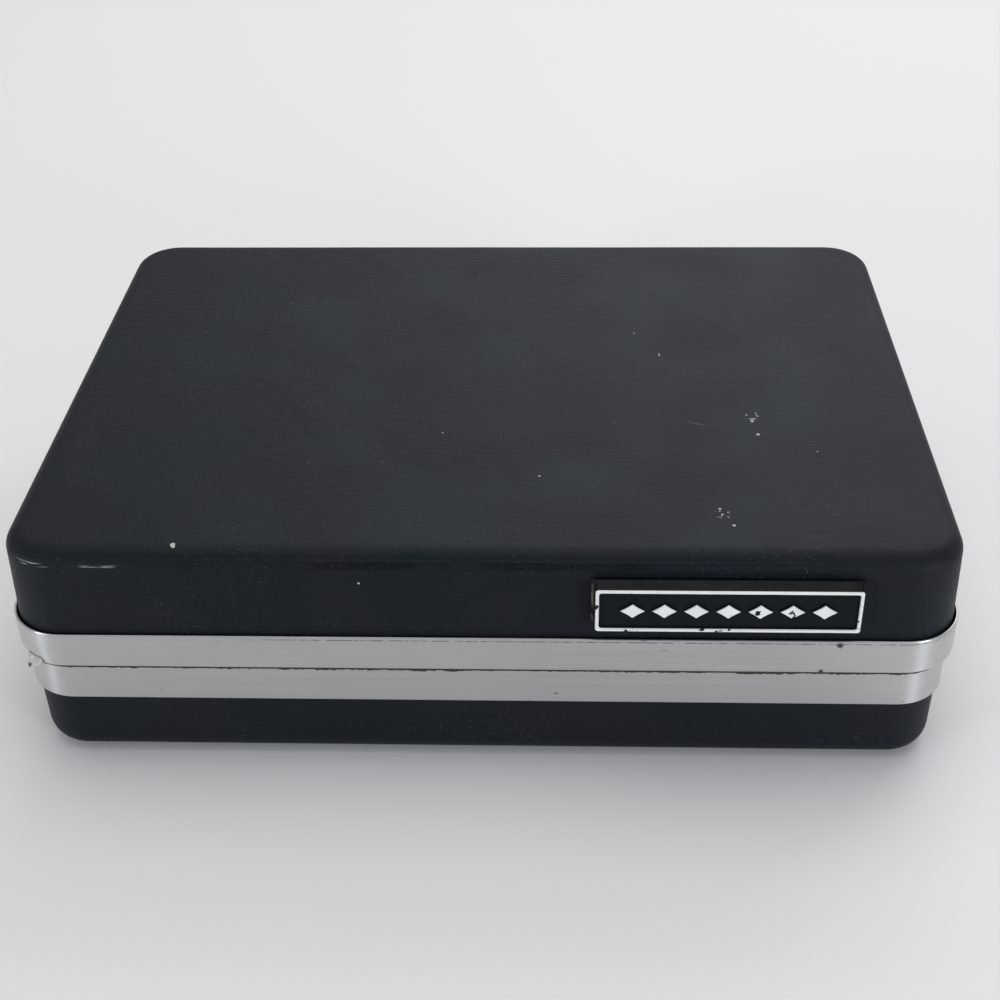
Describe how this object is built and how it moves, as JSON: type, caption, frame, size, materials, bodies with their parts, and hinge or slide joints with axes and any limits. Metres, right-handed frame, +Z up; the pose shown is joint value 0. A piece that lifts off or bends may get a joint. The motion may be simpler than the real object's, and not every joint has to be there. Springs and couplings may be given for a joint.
{
  "type": "electric shaver in a travel case",
  "caption": "Electric foil shaver with motor and pull-off head, packed in a hinged leatherette travel case with metal bands, mirror, moulded insert and spring catch.",
  "frame": {"origin": "middle of the closed case's footprint, on the plane it stands on", "axes": "+X to the right when facing the nameplate side, +Y from the nameplate side to the hinges, +Z up"},
  "size_m": [0.1814, 0.1402, 0.05],
  "materials": {
    "leatherette": "black fine-grained leatherette, worn at the front left edge",
    "band_metal": "brushed plated strip with small stains",
    "shell_board": "moulded shell, hidden under the covering",
    "flock": "dark red flock and lining",
    "nameplate_plastic": "black, with worn white rim and lozenges",
    "mirror": "silvered glass",
    "casing_plastic": "polished black",
    "inner_plastic": "moulded, buff",
    "chrome": "polished",
    "steel": "bright",
    "copper": "lacquered copper winding",
    "iron": "stacked laminations",
    "brass": "plain",
    "carbon": "pressed carbon",
    "lead_rubber": "insulated wire"
  },
  "bodies": {
    "base": {"base_cover": "leatherette", "base_shell": "shell_board", "lower_band": "band_metal", "base_hinge_leaf_left": "band_metal", "base_hinge_leaf_right": "band_metal", "hinge_pin_left": "steel", "hinge_pin_right": "steel", "insert_tray": "flock", "catch_spring": "steel", "shaver_front_cover": "casing_plastic", "shaver_back_cover": "casing_plastic", "casing_screw_left": "steel", "casing_screw_right": "steel", "switch_plate": "band_metal", "switch_contact": "brass", "inlet_block": "inner_plastic", "inlet_pin_left": "brass", "inlet_pin_right": "brass", "lead_wire_left": "lead_rubber", "lead_wire_right": "lead_rubber", "motor_top_plate": "inner_plastic", "motor_bottom_plate": "inner_plastic", "top_bearing": "brass", "bottom_bearing": "brass", "field_core": "iron", "field_coil_left": "copper", "field_coil_right": "copper", "brush_holder_left": "brass", "brush_holder_right": "brass", "brush_left": "carbon", "brush_right": "carbon", "brush_spring_left": "steel", "brush_spring_right": "steel", "lever_pivot_pin": "steel"},
    "lid": {"lid_cover": "leatherette", "lid_shell": "shell_board", "lid_liner": "flock", "upper_band": "band_metal", "nameplate": "nameplate_plastic", "nameplate_stud_left": "steel", "nameplate_stud_right": "steel", "lid_hinge_leaf_left": "band_metal", "lid_hinge_leaf_right": "band_metal", "catch_keeper": "steel", "mirror_glass": "mirror", "mirror_frame": "chrome"},
    "head": {"head_frame": "chrome", "shaving_foil": "steel"},
    "cutter": {"cutter_block": "steel", "cutter_carrier": "inner_plastic"},
    "lever": {"drive_lever": "steel"},
    "armature": {"motor_shaft": "steel", "armature_core": "iron", "armature_winding_bottom": "copper", "armature_winding_top": "copper", "commutator": "copper", "eccentric": "steel"},
    "switch": {"switch_button": "casing_plastic"},
    "release_left": {"release_button_left": "chrome"},
    "release_right": {"release_button_right": "chrome"}
  },
  "joints": [
    {"name": "lid_hinge", "type": "hinge", "parent": "base", "child": "lid", "pos_m": [0, 0.0689, 0.0241], "axis": [-1, 0, 0], "range_deg": [0, 100], "deforming": ["catch_spring"]},
    {"name": "head_lift", "type": "slide", "parent": "base", "child": "head", "axis": [0, 1, 0], "range_m": [0, 0.007]},
    {"name": "lever_swing", "type": "hinge", "parent": "base", "child": "lever", "pos_m": [-0.044, 0.026, 0.023], "axis": [0, 0, 1], "range_deg": [-4, 4]},
    {"name": "cutter_slide", "type": "slide", "parent": "base", "child": "cutter", "axis": [1, 0, 0], "range_m": [-0.00083, 0.00083]},
    {"name": "armature_spin", "type": "hinge", "parent": "base", "child": "armature", "pos_m": [-0.044, 0, 0.023], "axis": [0, 1, 0], "continuous": true},
    {"name": "switch_slide", "type": "slide", "parent": "base", "child": "switch", "axis": [0, 1, 0], "range_m": [0, 0.004]},
    {"name": "release_press_left", "type": "slide", "parent": "base", "child": "release_left", "axis": [1, 0, 0], "range_m": [0, 0.0012], "stiffness_N_per_m": 1500},
    {"name": "release_press_right", "type": "slide", "parent": "base", "child": "release_right", "axis": [-1, 0, 0], "range_m": [0, 0.0012], "stiffness_N_per_m": 1500}
  ],
  "couplings": [
    {"joint": "lever_swing", "follows": "cutter_slide", "rad_per_m": -83.333}
  ]
}
